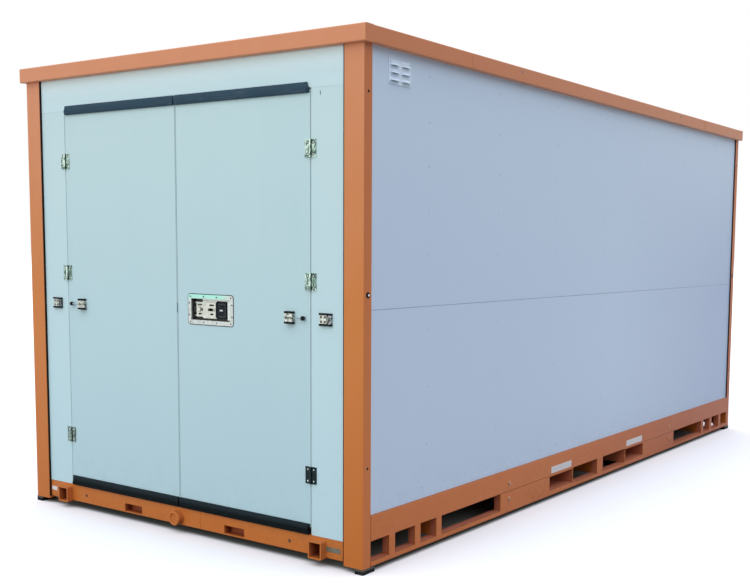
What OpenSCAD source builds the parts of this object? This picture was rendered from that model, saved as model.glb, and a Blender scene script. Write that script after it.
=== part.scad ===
// Portable storage container with a steel frame, flush wall panels and double front doors.
// Origin on the ground under the middle of the container, +X to the right of the doors,
// -Y out of the doorway, +Z up. All sizes are in millimetres.

/* [Overall] */
// Width over the roof rim
rim_w = 2438; // [2300:1:2700]
// Length over the roof rim
rim_l = 4877; // [4700:1:6100]
// Height from the ground to the top of the roof rim
height = 2427; // [2350:1:2900]

/* [Roof] */
// How far the roof rim stands out past the corner posts
rim_over = 23; // [10:1:40]
// Height of the roof rim
rim_h = 76; // [70:1:120]
// Width of the roof rim bars in plan
rim_t = 60; // [50:1:80]
// Thickness of the roof sheet
sheet_t = 18; // [8:1:20]
// How far the roof sheet lies below the top of the rim
sheet_drop = 4; // [0:1:8]
// Height of the roof bows
bow_h = 40; // [25:1:44]
// Width of the roof bows
bow_w = 40; // [30:1:60]
// Number of roof bows
bow_n = 5; // [3:1:8]

/* [Frame bars] */
// Fold radius on the outer edges of the rim, beams and sills
fold_r = 5; // [2:1:7]
// Corner radius of the posts and lift tubes
tube_r = 6; // [3:1:8]

/* [Corner posts and feet] */
// Width of a corner post across the front
post_w = 115; // [90:1:140]
// Depth of a corner post along the side
post_d = 59; // [55:1:80]
// Thickness of the rubber foot pads
pad_h = 16; // [10:1:25]
// Thickness of the steel foot plates
foot_t = 10; // [6:1:16]
// Width of a foot across the front
foot_w = 48; // [40:1:80]
// Length of a foot along the side
foot_l = 86; // [60:1:110]

/* [Side rails] */
// Height of the bottom flange of a side rail
flange_h = 25; // [20:1:30]
// Height of the openings in a side rail
open_h = 95; // [90:1:120]
// Height of the beam above the openings
beam_h = 118; // [90:1:150]
// Depth of the beam and the bottom flange
beam_d = 50; // [45:1:70]
// Depth of the short uprights
upright_d = 40; // [25:1:44]
// Width of the short uprights
upright_w = 45; // [35:1:60]
// Width of the middle upright
centre_w = 80; // [60:1:100]
// Opening between the corner post and the first upright
gap_1 = 136; // [110:1:170]
// Opening between the first and second uprights
gap_2 = 160; // [120:1:190]
// Opening between the second and third uprights
gap_3 = 135; // [110:1:170]
// Length of the rail plates beside the fork tubes
web_l = 548.5; // [450:0.5:600]
// Thickness of the rail plates
web_t = 8; // [5:1:12]
// Gap between a rail plate and the beam above it
web_gap = 2; // [1:0.5:4]
// Distance of the fork tubes from the middle of the length
fork_y = 525; // [480:1:560]
// Width of a fork tube
fork_w = 302; // [240:1:330]
// Wall of a fork tube
fork_t = 6; // [4:1:10]

/* [Sills] */
// How far the end walls and sills stand back from the posts
end_recess = 12; // [11:1:18]
// Height of the sill's underside above the rail's underside
sill_rise = 13; // [10:1:16]
// Height of a sill
sill_h = 95; // [88:1:96]
// Depth of a sill
sill_d = 48; // [42:1:60]
// Depth of the ledge behind a sill that carries the floor
ledge_d = 46; // [30:1:60]
// How far the ledge laps on to the sill
ledge_lap = 6; // [4:1:10]
// Width of a slot in the sill
slot_w = 137; // [100:1:160]
// Height of a slot in the sill
slot_h = 42; // [30:1:50]
// Distance of a slot's centre from the middle of the sill
slot_x = 375; // [300:1:450]
// Height of a slot above the sill's underside
slot_rise = 8; // [6:1:20]
// Wall behind a slot in the sill
slot_back = 4; // [3:0.5:8]
// Distance of a lift tube's centre from the corner post
lift_in = 153; // [60:1:200]
// Width of a lift tube
lift_w = 80; // [70:1:90]
// Height of a lift tube
lift_h = 84; // [70:1:88]
// Wall of a lift tube
lift_t = 7; // [5:1:10]
// Height of the lift tube's underside above the rail's underside
lift_rise = 8; // [4:1:12]
// Radius of the tow boss at the middle of its rolled lip
tow_r = 31; // [25:1:34]
// Radius of the tow boss's rolled lip
tow_lip = 6.5; // [4:0.5:8]
// Distance of the tow boss's centre from the middle of the sill
tow_x = -25; // [-60:1:60]
// Height of the tow boss's centre above the sill's underside
tow_rise = 38; // [24:1:50]

/* [Walls and floor] */
// How far the side panels stand back from the posts
side_recess = 10; // [6:1:16]
// Thickness of the side panels
side_t = 20; // [12:1:24]
// Thickness of the end walls and doors
end_t = 40; // [36:1:44]
// Height of the seam between the lower and upper panels
seam_z = 1194; // [1000:1:1400]
// Gap between the lower and upper panels
panel_gap = 3; // [1:0.5:5]
// Height of the panel over the doors
header_h = 169; // [120:1:240]
// Thickness of the floor
floor_t = 18; // [15:1:28]

/* [Doors] */
// Width of the jamb panels beside the doors
jamb_w = 197; // [160:1:260]
// Gap from a hinge line to the door leaf and to the jamb
hinge_gap = 4; // [3:0.5:6]
// Gap between the two door leaves
seam_gap = 10; // [8:1:14]
// Distance of the meeting line to the right of the middle
seam_x = -10; // [-30:1:10]
// Clearance over the floor and under the header
leaf_clear = 6; // [5:1:9]
// Thickness of a rubber seal's flap
seal_t = 6; // [4:1:8]
// Stand-off of the flap from the wall
seal_stand = 5; // [5:1:6]
// How far the flap bends outwards at half its height
seal_bend = 3; // [0:0.5:4]
// How far a seal laps on to its door
seal_lap = 16; // [12:1:24]
// How far the top seal reaches past its door
seal_up = 31; // [20:1:40]
// How far the bottom seal reaches past its door
seal_down = 36; // [20:1:40]
// Distance of a seal's end from the hinge line
seal_end = 15; // [12:1:25]
// Distance of the seal's mounting bar from the hinge line
bar_end = 7; // [5:1:12]

/* [Hinges] */
// Height of a hinge
hinge_h = 80; // [60:1:110]
// Width of a hinge leaf
leaf_w = 33; // [26:1:45]
// Thickness of a hinge leaf
leaf_t = 4; // [3:0.5:5]
// Radius of the hinge knuckle
knuckle_r = 6; // [5:0.5:8]
// Radius of the hinge pin
pin_r = 3; // [2:0.5:4]
// Running clearance on hinge pins, plungers and between knuckles
run_clear = 0.1; // [0.05:0.01:0.1]
// Height of the lowest hinges above the bottom of the door
hinge_low = 247; // [120:1:500]
// Height of the middle hinges above the middle of the door
hinge_mid = 140; // [80:1:260]
// Distance of the top hinges below the top of the door
hinge_high = 262; // [120:1:500]

/* [Door hold-backs] */
// Distance of the hold-backs below the middle of the door
hold_down = 28; // [10:1:120]
// Height of a hold-back bracket and catch
hold_h = 58; // [50:1:70]
// Distance of a door bracket from its hinge line
bracket_u = 100; // [80:1:110]
// Width of a door bracket
bracket_w = 50; // [44:1:70]
// Wall of a door bracket in front of its plunger
bracket_wall = 2; // [1:0.5:4]
// How far the cheeks stand out from a bracket's face
cheek_lip = 2; // [1:0.5:4]
// Distance of a catch from the hinge line
catch_u = 54; // [45:1:70]
// Width of a catch
catch_w = 74; // [60:1:90]
// Projection of a catch
catch_p = 10; // [8:1:14]
// Plate thickness of a catch
hold_t = 4; // [3:0.5:5]
// Thickness of the cheeks above and below
cheek_t = 8; // [5:1:10]
// Radius of the plunger rod
rod_r = 3; // [2.5:0.5:5]
// Radius of the plunger's ball knob
knob_r = 11; // [8:0.5:11]
// Distance of the knob's centre from the hinge line
knob_u = 41; // [38:1:48]

/* [Latch] */
// Distance of the latch tray's centre from the middle
tray_x = 227; // [215:1:260]
// Distance of the latch tray's centre below the middle of the door
tray_down = 17; // [-60:1:160]
// Width of the tray's opening
tray_w = 270; // [262:1:300]
// Height of the tray's opening
tray_h = 106; // [96:1:130]
// Depth of the tray
tray_d = 30; // [28:1:32]
// Sheet thickness of the tray
tray_t = 2; // [1.5:0.5:3]
// Width of the tray's flange
tray_rim = 21; // [14:1:26]
// Corner radius of the tray's flange
tray_r = 15; // [6:1:20]
// Width of the slide plate
slide_w = 143; // [120:1:150]
// Height of the slide plate
slide_h = 73; // [60:1:80]
// Width of the cover plate on the slide
cover_w = 96; // [60:1:100]
// Height of the cover plate on the slide
cover_h = 86; // [74:1:92]
// How far the cover plate stands out from the slide
cover_t = 2; // [1:0.5:3]
// Width of the runners behind the slide
runner_w = 8; // [5:1:12]
// Distance of the padlock eye from the grip
eye_in = 16; // [8:1:20]
// Length of the padlock eye on the cover plate
eye_l = 46; // [36:1:60]
// Height of the padlock eye
eye_h = 22; // [16:1:26]
// Wall of the padlock eye
eye_t = 4; // [3:0.5:6]
// Thickness of the slide plate and its bolt
slide_t = 8; // [6:1:10]
// Gap left of the slide plate when the bolt is drawn back
slide_gap = 25; // [24:1:30]
// Depth of the slide plate's face behind the door's face
slide_back = 11; // [10:1:12]
// Height of the bolt
bolt_h = 30; // [20:1:40]
// How far the bolt's tip lies inside the door's edge when drawn back
bolt_in = 1; // [1:0.5:4]
// Clearance round the bolt in its slot and keeper
bolt_clear = 1.5; // [1:0.5:2.5]
// Depth of the keeper in the other door's edge
keeper_d = 16; // [14:1:30]
// Width of the grip block
grip_w = 74; // [60:1:88]
// Height of the grip block
grip_h = 80; // [50:1:90]
// Depth of the grip's face behind the door's face
grip_in = 2; // [1:1:6]
// Corner radius of the grip block
grip_r = 7; // [3:1:12]
// Width of the raised border round the grip's face
grip_rim = 7; // [4:1:12]
// Depth of the grip's face inside its border
grip_dish = 2; // [1:0.5:4]

/* [Vents] */
// Width of a vent
vent_w = 165; // [140:1:200]
// Height of a vent
vent_h = 108; // [90:1:130]
// Distance of a vent's centre from the outside of the front post
vent_in = 266; // [200:1:600]
// Distance of a vent's centre below the roof rim
vent_down = 96; // [80:1:300]
// Thickness of the vent's plate
vent_t = 3; // [2:0.5:4]
// Radius of a louvre hood
hood_r = 12; // [9:1:14]
// Wall of a louvre hood
hood_t = 2; // [1.5:0.5:3]
// Length of a louvre hood
hood_l = 62; // [50:1:65]

/* [Hidden] */
$fn = 48;
orange = [0.80, 0.42, 0.20];
white = [0.84, 0.90, 0.92];
steel = [0.70, 0.72, 0.70];
black = [0.10, 0.11, 0.13];
plywood = [0.62, 0.48, 0.32];

// outer faces of the corner posts, and the inner faces that the walls meet
post_x = rim_w / 2 - rim_over;
post_y = rim_l / 2 - rim_over;
bay_x = post_x - post_w;
bay_y = post_y - post_d;

// levels
base_z = pad_h + foot_t;
rim_z = height - rim_h;
open_z = base_z + flange_h;
floor_z = open_z + open_h;
floor_top = floor_z + floor_t;
beam_top = floor_z + beam_h;
sill_z = base_z + sill_rise;
sill_top = sill_z + sill_h;
sheet_z = height - sheet_drop - sheet_t;

// end walls: outer and inner face, counted from the middle of the length
face_y = post_y - end_recess;
back_y = face_y - end_t;
sill_back = face_y - sill_d;

// side rails: inner faces of the uprights, counted from the middle of the length
upright_1 = bay_y - gap_1 - upright_w;
upright_2 = upright_1 - gap_2 - upright_w;
upright_3 = upright_2 - gap_3 - upright_w;
fork_in = fork_y - fork_w / 2;
fork_out = fork_y + fork_w / 2;
web_end = fork_out + web_l;
web_mid = fork_out + web_l / 2;
web_x = post_x - web_t;
cross_x = post_x - upright_d;
lift_x = bay_x - lift_in;

// doors
hinge_x = bay_x - jamb_w - hinge_gap;
header_z = rim_z - header_h;
leaf_z = [floor_top + leaf_clear, header_z - leaf_clear];
leaf_mid = (leaf_z[0] + leaf_z[1]) / 2;
left_x = [-hinge_x + hinge_gap, seam_x - seam_gap / 2];
right_x = [seam_x + seam_gap / 2, hinge_x - hinge_gap];
axis_y = -face_y - knuckle_r;
hinge_levels = [leaf_z[0] + hinge_low, leaf_mid + hinge_mid, leaf_z[1] - hinge_high];
hold_z = leaf_mid - hold_down;

// latch: faces along the width and the depth
tray_z = leaf_mid - tray_down;
tray_left = tray_x - tray_w / 2;
slide_x = tray_left + slide_gap;
slide_y = -face_y + slide_back;
bolt_z = about(tray_z, bolt_h / 2);
bolt_y = [slide_y, slide_y + slide_t];
cover_x = [slide_x + slide_w - cover_w, slide_x + slide_w];
eye_x = cover_x[1] - eye_in - eye_l / 2;
thumb_x = (slide_x + cover_x[0]) / 2 - eye_t;
window_z = slide_h / 2 - runner_w - eye_t - 2;

vent_y = -post_y + vent_in;
vent_z = rim_z - vent_down;

// Limits at equal distances either side of a centre
function about(c, half) = [c - half, c + half];

// Limits moved apart by a clearance at each end
function grow(r, by) = [r[0] - by, r[1] + by];

// A block between two limits along each axis
module block(x, y, z) {
    translate([x[0], y[0], z[0]])
        cube([x[1] - x[0], y[1] - y[0], z[1] - z[0]]);
}

// A rectangle between two limits along each axis, with round corners
module soft_rect(x, y, r) {
    w = x[1] - x[0];
    h = y[1] - y[0];
    translate([x[0], y[0]]) {
        translate([r, 0]) square([w - 2 * r, h]);
        translate([0, r]) square([w, h - 2 * r]);
        for (i = [r, w - r])
            for (j = [r, h - r])
                translate([i, j]) circle(r);
    }
}

// A bar along the length with round long edges
module bar_along(x, y, z, r) {
    translate([0, y[1], 0])
        rotate([90, 0, 0])
            linear_extrude(y[1] - y[0]) soft_rect(x, z, r);
}

// A bar across the width with round long edges
module bar_across(x, y, z, r) {
    translate([x[0], 0, 0])
        rotate([90, 0, 90])
            linear_extrude(x[1] - x[0]) soft_rect(y, z, r);
}

// The children and their mirror image across the width
module both_sides() {
    children();
    mirror([1, 0, 0]) children();
}

// The children and their mirror image along the length
module both_ends() {
    children();
    mirror([0, 1, 0]) children();
}

// The children on the right, or mirrored to the left
module on_side(s) {
    mirror([s < 0 ? 1 : 0, 0, 0]) children();
}

// Corner posts and feet
module corner_post(sx, sy) {
    color(orange)
        mirror([sx < 0 ? 1 : 0, 0, 0]) mirror([0, sy < 0 ? 1 : 0, 0])
            translate([0, 0, base_z])
                linear_extrude(rim_z - base_z) soft_rect([bay_x, post_x], [bay_y, post_y], tube_r);
}

module foot_layer(z) {
    both_ends() both_sides()
        block([post_x - foot_w, post_x], [post_y - foot_l, post_y], z);
}

module foot_plates() {
    color(orange) foot_layer([pad_h, base_z]);
}

module foot_pads() {
    color(black) foot_layer([0, pad_h]);
}

// Roof
module roof_rim_end(s) {
    color(orange) mirror([0, s < 0 ? 1 : 0, 0])
        bar_across([-rim_w / 2, rim_w / 2], [rim_l / 2 - rim_t, rim_l / 2], [rim_z, height], fold_r);
}

module roof_rim_side(s) {
    color(orange) on_side(s)
        bar_along([rim_w / 2 - rim_t, rim_w / 2], [rim_t - rim_l / 2, rim_l / 2 - rim_t],
            [rim_z, height], fold_r);
}

module roof_sheet() {
    color(white)
        block([rim_t - rim_w / 2, rim_w / 2 - rim_t], [rim_t - rim_l / 2, rim_l / 2 - rim_t],
            [sheet_z, sheet_z + sheet_t]);
}

module roof_bows() {
    pitch = (rim_l - 2 * rim_t) / (bow_n + 1);
    color(orange)
        for (i = [1 : bow_n])
            translate([0, rim_t - rim_l / 2 + i * pitch, 0])
                block([rim_t - rim_w / 2, rim_w / 2 - rim_t], [-bow_w / 2, bow_w / 2],
                    [sheet_z - bow_h, sheet_z]);
}

// Side rails
module side_beams() {
    color(orange) both_sides() {
        bar_along([post_x - beam_d, post_x], [-bay_y, bay_y], [floor_z, beam_top], fold_r);
        block([post_x - beam_d, post_x], [-bay_y, bay_y], [floor_z, beam_top - 2 * fold_r]);
    }
}

module rail_flanges() {
    color(orange) both_sides() {
        bar_along([post_x - beam_d, post_x], [-bay_y, bay_y], [base_z, open_z], fold_r);
        block([post_x - beam_d, post_x], [-bay_y, bay_y], [base_z + 2 * fold_r, open_z]);
    }
}

module rail_uprights() {
    color(orange) both_sides() {
        both_ends() {
            for (y = [upright_1, upright_2, upright_3])
                block([cross_x, post_x], [y, y + upright_w], [open_z, floor_z]);
            block([cross_x, web_x], [web_end - upright_w, web_end], [open_z, floor_z]);
        }
        block([cross_x, post_x], [-centre_w / 2, centre_w / 2], [open_z, floor_z]);
    }
}

module rail_plates() {
    color(orange) both_sides() both_ends()
        block([web_x, post_x], [fork_out, web_end], [open_z, floor_z - web_gap]);
}

module cross_members() {
    color(orange) {
        both_ends() {
            block([-cross_x, cross_x], [upright_3, upright_3 + upright_w], [open_z, floor_z]);
            block([-web_x, web_x], about(web_mid, upright_w / 2), [open_z, floor_z]);
        }
        block([-cross_x, cross_x], [-centre_w / 2, centre_w / 2], [open_z, floor_z]);
    }
}

module fork_tubes() {
    color(orange) both_ends()
        difference() {
            block([-post_x, post_x], [fork_in, fork_out], [open_z, floor_z]);
            block([-post_x - 1, post_x + 1], [fork_in + fork_t, fork_out - fork_t],
                [open_z + fork_t, floor_z - fork_t]);
        }
}

// Sills, drawn for the rear end
module sill() {
    color(orange)
        difference() {
            union() {
                bar_across([-bay_x, bay_x], [sill_back, face_y], [sill_z, sill_top], fold_r);
                block([-bay_x, bay_x], [sill_back, face_y - 2 * fold_r], [sill_z, sill_top]);
                block([-bay_x, bay_x], [sill_back + ledge_lap - ledge_d, sill_back + ledge_lap],
                    [sill_top, floor_z]);
            }
            both_sides() {
                block([slot_x - slot_w / 2, slot_x + slot_w / 2], [sill_back + slot_back, face_y + 1],
                    [sill_z + slot_rise, sill_z + slot_rise + slot_h]);
                block([lift_x - lift_w / 2, lift_x + lift_w / 2], [sill_back - 1, face_y + 1],
                    [sill_z - 1, base_z + lift_rise + lift_h]);
            }
        }
}

module front_sill() {
    mirror([0, 1, 0]) sill();
}

module rear_sill() {
    sill();
}

module lift_tubes() {
    z = base_z + lift_rise;
    color(orange) both_ends() both_sides()
        translate([lift_x, 0, z])
            difference() {
                bar_along([-lift_w / 2, lift_w / 2], [upright_3 + upright_w, rim_l / 2], [0, lift_h], tube_r);
                block([lift_t - lift_w / 2, lift_w / 2 - lift_t], [upright_3, rim_l / 2 + 1],
                    [lift_t, lift_h - lift_t]);
            }
}

module tow_boss() {
    reach = end_recess + rim_over;
    color(orange)
        translate([tow_x, -face_y, sill_z + tow_rise])
            rotate([90, 0, 0])
                rotate_extrude() {
                    square([tow_r, reach - tow_lip]);
                    translate([tow_r, reach - tow_lip]) circle(tow_lip);
                }
}

// Floor and walls
module floor() {
    color(plywood)
        block([beam_d - post_x, post_x - beam_d], [-bay_y, bay_y], [floor_z, floor_top]);
}

// Levels of a lower panel that stands on z, and of an upper panel
function low_panel(z) = [z, seam_z - panel_gap / 2];
function high_panel() = [seam_z + panel_gap / 2, rim_z];

module side_panel(s, z, vented) {
    color(white) on_side(s)
        difference() {
            block([post_x - side_recess - side_t, post_x - side_recess], [-bay_y, bay_y], z);
            if (vented)
                translate([0, vent_y, vent_z])
                    block([post_x - side_recess - side_t - 1, post_x], [-hood_l, hood_l],
                        [-vent_h / 2 + hood_r, vent_h / 2 - hood_r]);
        }
}

module rear_panel(z) {
    color(white) block([-bay_x, bay_x], [back_y, face_y], z);
}

module header_panel() {
    color(white) block([-bay_x, bay_x], [-face_y, -back_y], [header_z, rim_z]);
}

module jamb(s) {
    color(white) on_side(s)
        block([hinge_x + hinge_gap, bay_x], [-face_y, -back_y], [sill_top, header_z - panel_gap / 2]);
}

// A louvred vent: two columns of three hoods, each over its own slot
module vent() {
    pitch_y = vent_w / 2;
    pitch_z = (vent_h - 8) / 3;
    translate([post_x - side_recess, vent_y, vent_z]) {
        difference() {
            block([0, vent_t], [-vent_w / 2, vent_w / 2], [-vent_h / 2, vent_h / 2]);
            vent_grid(pitch_y, pitch_z)
                block([-1, vent_t + 1], about(0, hood_l / 2 - hood_r), [0, hood_r - hood_t]);
        }
        vent_grid(pitch_y, pitch_z) louvre_hood();
    }
}

module vent_grid(pitch_y, pitch_z) {
    for (i = [-0.5, 0.5])
        for (j = [-1, 0, 1])
            translate([0, i * pitch_y, j * pitch_z - hood_r / 2]) children();
}

// A round bar along the length with ball ends
module capsule(r, l) {
    rotate([90, 0, 0]) cylinder(r = r, h = l - 2 * r, center = true);
    for (s = [-1, 1])
        translate([0, s * (l / 2 - r), 0]) sphere(r);
}

module louvre_hood() {
    translate([vent_t, 0, 0])
        intersection() {
            difference() {
                capsule(hood_r, hood_l);
                capsule(hood_r - hood_t, hood_l - 2 * hood_t);
            }
            block([0, hood_r + 1], about(0, hood_l), [0, hood_r + 1]);
        }
}

module vents() {
    color(white) both_sides() vent();
}

// Hinges, drawn for the right door with the axis at the origin
module hinge_leaf(z, gap) {
    block([gap, leaf_w], [knuckle_r - leaf_t, knuckle_r], z);
}

module knuckle(z) {
    translate([0, 0, z[0]]) cylinder(r = knuckle_r, h = z[1] - z[0]);
    block([0, knuckle_r + 1], [knuckle_r - leaf_t, knuckle_r], z);
}

module frame_hinge() {
    third = hinge_h / 3;
    hinge_leaf([0, hinge_h], knuckle_r + 1);
    knuckle([0, third]);
    knuckle([hinge_h - third, hinge_h]);
    cylinder(r = pin_r, h = hinge_h);
}

module door_hinge() {
    third = hinge_h / 3;
    mirror([1, 0, 0])
        difference() {
            union() {
                hinge_leaf([0, hinge_h], knuckle_r + 1);
                knuckle([third + run_clear, 2 * third - run_clear]);
            }
            translate([0, 0, -1]) cylinder(r = pin_r + run_clear, h = hinge_h + 2);
        }
}

module at_hinges() {
    for (z = hinge_levels)
        translate([hinge_x, axis_y, z - hinge_h / 2]) children();
}

module frame_hinge_leaves() {
    color(steel) both_sides() at_hinges() frame_hinge();
}

module door_hinges(s) {
    color(steel) on_side(s) at_hinges() door_hinge();
}

// Door hold-backs, drawn for the right door; u runs from the hinge line on to the door
module hold_channel(w, plate, p) {
    block([0, w], [-plate, 0], [-hold_h / 2, hold_h / 2]);
    for (z = [-hold_h / 2, hold_h / 2 - cheek_t])
        block([0, w], [-p, 0], [z, z + cheek_t]);
}

module hold_back(s) {
    face = plunger_h() + rod_r + run_clear + bracket_wall;
    color(steel) on_side(s)
        translate([hinge_x - bracket_u - bracket_w, -face_y, hold_z])
            difference() {
                hold_channel(bracket_w, face, face + cheek_lip);
                translate([-1, -plunger_h(), 0])
                    rotate([0, 90, 0]) cylinder(r = rod_r + run_clear, h = bracket_w + 2);
            }
}

// Height of the plunger's axis above the door's face
function plunger_h() = knob_r + 1;

module plunger(s) {
    color(black) on_side(s)
        translate([hinge_x - knob_u, -face_y - plunger_h(), hold_z]) {
            sphere(knob_r);
            rotate([0, -90, 0]) cylinder(r = rod_r, h = bracket_u + bracket_w - knob_u - cheek_t);
        }
}

// A catch has its keeper lip at its right-hand end on both jambs
module hold_back_catches() {
    lip = catch_w / 3;
    color(steel)
        for (x = [hinge_x + catch_u, -hinge_x - catch_u - catch_w])
            translate([x, -face_y, hold_z]) {
                hold_channel(catch_w, hold_t, catch_p);
                block([catch_w - lip, catch_w], [-catch_p, 0], [-hold_h / 2, hold_h / 2]);
            }
}

// Doors
module left_door() {
    color(white)
        difference() {
            block(left_x, [-face_y, -back_y], leaf_z);
            block([left_x[1] - keeper_d, left_x[1] + 1], grow(bolt_y, bolt_clear),
                grow(bolt_z, bolt_clear));
        }
}

module right_door() {
    color(white)
        difference() {
            block(right_x, [-face_y, -back_y], leaf_z);
            block([tray_left - tray_t, tray_left + tray_w + tray_t],
                [-face_y - 1, -face_y + tray_d + tray_t],
                about(tray_z, tray_h / 2 + tray_t));
            block([right_x[0] - 1, tray_left], grow(bolt_y, bolt_clear),
                grow(bolt_z, bolt_clear));
        }
}

// A flap that bends outwards at half its height, with its mounting bar on the door's face
module seal(x_bar, x_flap, z_bar, z_flap) {
    low = seal_stand;
    high = seal_stand + seal_t;
    middle = (z_flap[0] + z_flap[1]) / 2;
    block(x_bar, [-face_y - (low + high) / 2, -face_y], z_bar);
    translate([x_flap[0], -face_y, 0])
        rotate([90, 0, 90])
            linear_extrude(x_flap[1] - x_flap[0])
                polygon([[-low, z_flap[0]], [-low - seal_bend, middle], [-low, z_flap[1]],
                    [-high, z_flap[1]], [-high - seal_bend, middle], [-high, z_flap[0]]]);
}

module door_seals(x_bar, x_flap) {
    low = leaf_z[0] + seal_lap;
    high = leaf_z[1] - seal_lap;
    color(black) {
        seal(x_bar, x_flap, [leaf_z[0], low], [leaf_z[0] - seal_down, low]);
        seal(x_bar, x_flap, [high, leaf_z[1]], [high, leaf_z[1] + seal_up]);
    }
}

module left_door_seals() {
    door_seals([bar_end - hinge_x, left_x[1]], [seal_end - hinge_x, left_x[1]]);
}

module right_door_seals() {
    door_seals([right_x[0], hinge_x - bar_end], [right_x[0], hinge_x - seal_end]);
}

// Latch: a plate with round corners, its face towards -Y and its back on y
module front_plate(x, y, z, t, r) {
    translate([0, y, 0])
        rotate([90, 0, 0])
            linear_extrude(t) soft_rect(x, z, r);
}

module latch_tray() {
    color(steel)
        difference() {
            union() {
                front_plate(about(tray_x, tray_w / 2 + tray_rim), -face_y,
                    about(tray_z, tray_h / 2 + tray_rim), tray_t, tray_r);
                block(about(tray_x, tray_w / 2 + tray_t), [-face_y, -face_y + tray_d + tray_t],
                    about(tray_z, tray_h / 2 + tray_t));
            }
            difference() {
                block(about(tray_x, tray_w / 2), [-face_y - tray_t - 1, -face_y + tray_d],
                    about(tray_z, tray_h / 2));
                for (s = [-1, 1])
                    translate([0, 0, tray_z + s * (slide_h - runner_w) / 2])
                        block(about(tray_x, tray_w / 2 + 1),
                            [bolt_y[1] + run_clear, -face_y + tray_d + 1], about(0, runner_w / 2));
            }
            block([tray_left - tray_t - 1, tray_left + 1], grow(bolt_y, bolt_clear),
                grow(bolt_z, bolt_clear));
        }
}

// A window with round ends through the slide, with its centre at x and z
module slide_window(x, z, w, h) {
    front_plate(about(x, w / 2), bolt_y[1] + 1, about(z, h / 2), slide_t + cover_t + eye_t + 2,
        h / 2 - 1);
}

// The slide plate with its bolt, windows and thumb boss
module latch_slide() {
    color(steel) {
        difference() {
            union() {
                block([slide_x, cover_x[0]], bolt_y, about(tray_z, slide_h / 2));
                translate([thumb_x, bolt_y[1], tray_z])
                    rotate([90, 0, 0]) cylinder(r = eye_h / 2, h = slide_t + eye_t);
            }
            slide_window(thumb_x + eye_t, tray_z + window_z, eye_l - 3 * eye_t, 2 * eye_t);
            slide_window(thumb_x + eye_t, tray_z - window_z, eye_l / 2, 2 * eye_t);
        }
        block([right_x[0] + bolt_in, slide_x], bolt_y, bolt_z);
    }
}

// The cover plate beside the slide, with its windows and padlock eye
module latch_cover() {
    color(steel)
        difference() {
            union() {
                block(cover_x, [slide_y - cover_t, bolt_y[1]], about(tray_z, cover_h / 2));
                front_plate(about(eye_x, eye_l / 2), bolt_y[1], about(tray_z, eye_h / 2),
                    slide_t + cover_t + eye_t, eye_h / 2 - 1);
            }
            slide_window(eye_x, tray_z, eye_l - 2 * eye_t, eye_h - 2 * eye_t);
            slide_window(eye_x + eye_t, tray_z + window_z, eye_l - 3 * eye_t, 2 * eye_t);
            slide_window(eye_x + eye_t, tray_z - window_z, eye_l / 2, 2 * eye_t);
        }
}

// The grip block: a dished face inside a raised border
module latch_grip() {
    x = [slide_x + slide_w, slide_x + slide_w + grip_w];
    z = about(tray_z, grip_h / 2);
    depth = slide_back + slide_t - grip_in;
    color(black)
        difference() {
            front_plate(x, bolt_y[1], z, depth, grip_r);
            front_plate(grow(x, -grip_rim), -face_y + grip_in + grip_dish, grow(z, -grip_rim),
                grip_dish + 1, grip_r / 2);
        }
}

corner_post(-1, -1);  // corner_post_front_left
corner_post(1, -1);  // corner_post_front_right
corner_post(-1, 1);  // corner_post_rear_left
corner_post(1, 1);  // corner_post_rear_right
foot_plates();
foot_pads();
roof_rim_end(-1);  // roof_rim_front
roof_rim_end(1);  // roof_rim_rear
roof_rim_side(-1);  // roof_rim_left
roof_rim_side(1);  // roof_rim_right
roof_sheet();
roof_bows();
side_beams();
rail_flanges();
rail_uprights();
rail_plates();
cross_members();
fork_tubes();
front_sill();
rear_sill();
lift_tubes();
tow_boss();
floor();
side_panel(-1, low_panel(beam_top), false);  // side_panel_left_lower
side_panel(-1, high_panel(), true);  // side_panel_left_upper
side_panel(1, low_panel(beam_top), false);  // side_panel_right_lower
side_panel(1, high_panel(), true);  // side_panel_right_upper
rear_panel(low_panel(sill_top));  // rear_panel_lower
rear_panel(high_panel());  // rear_panel_upper
header_panel();
jamb(-1);  // jamb_left
jamb(1);  // jamb_right
vents();
frame_hinge_leaves();
hold_back_catches();
left_door();
left_door_seals();
door_hinges(-1);  // left_door_hinges
hold_back(-1);  // left_hold_back
plunger(-1);  // left_plunger
right_door();
right_door_seals();
door_hinges(1);  // right_door_hinges
hold_back(1);  // right_hold_back
plunger(1);  // right_plunger
latch_tray();
latch_slide();
latch_cover();
latch_grip();
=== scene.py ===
import math
import random
import bpy
from mathutils import Matrix, Vector


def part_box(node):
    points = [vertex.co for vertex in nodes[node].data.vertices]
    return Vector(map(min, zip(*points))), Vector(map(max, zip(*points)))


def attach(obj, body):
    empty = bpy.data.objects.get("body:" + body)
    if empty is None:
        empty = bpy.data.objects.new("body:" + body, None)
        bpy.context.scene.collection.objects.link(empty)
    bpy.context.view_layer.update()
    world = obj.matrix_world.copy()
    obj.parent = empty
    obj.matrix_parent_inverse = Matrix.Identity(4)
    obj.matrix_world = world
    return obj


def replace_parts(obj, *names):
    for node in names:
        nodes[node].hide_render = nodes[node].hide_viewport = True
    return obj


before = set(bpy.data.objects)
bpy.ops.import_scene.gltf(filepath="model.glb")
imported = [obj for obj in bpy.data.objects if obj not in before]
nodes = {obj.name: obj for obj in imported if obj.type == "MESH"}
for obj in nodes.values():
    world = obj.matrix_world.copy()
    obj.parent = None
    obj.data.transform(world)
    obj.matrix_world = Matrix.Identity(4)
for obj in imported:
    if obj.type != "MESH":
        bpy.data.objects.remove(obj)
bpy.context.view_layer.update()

scene = bpy.context.scene
scene.view_settings.view_transform = "Standard"
dice = random.Random(16)
print("frame loaded,", len(nodes), "nodes")


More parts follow.
